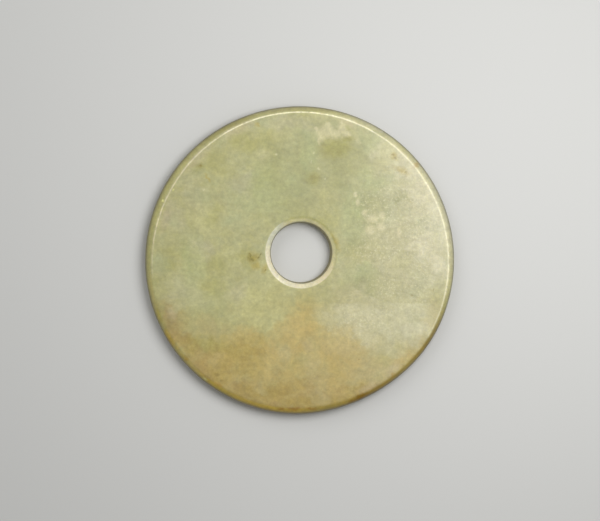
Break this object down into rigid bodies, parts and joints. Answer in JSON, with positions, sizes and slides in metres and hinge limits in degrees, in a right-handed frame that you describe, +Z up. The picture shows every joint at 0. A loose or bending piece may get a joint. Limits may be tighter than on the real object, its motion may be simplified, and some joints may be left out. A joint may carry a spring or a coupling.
{
  "type": "jade bi disc",
  "caption": "Plain flat ring of pale green nephrite with a rounded rim and a bevelled round bore; lies flat on either face.",
  "frame": {"origin": "centre of the disc's outline, on the plane of the underside", "axes": "+Z up out of the top face; +Y from the disc's middle towards the bore, which sits slightly off centre; +X to the right seen from above"},
  "size_m": [0.1504, 0.1496, 0.009],
  "materials": {
    "nephrite": "old hand polish on pale yellowish-green nephrite, mottled, with a brown weathered zone towards one side"
  },
  "bodies": {
    "root": {"bi_disc": "nephrite"}
  },
  "joints": []
}
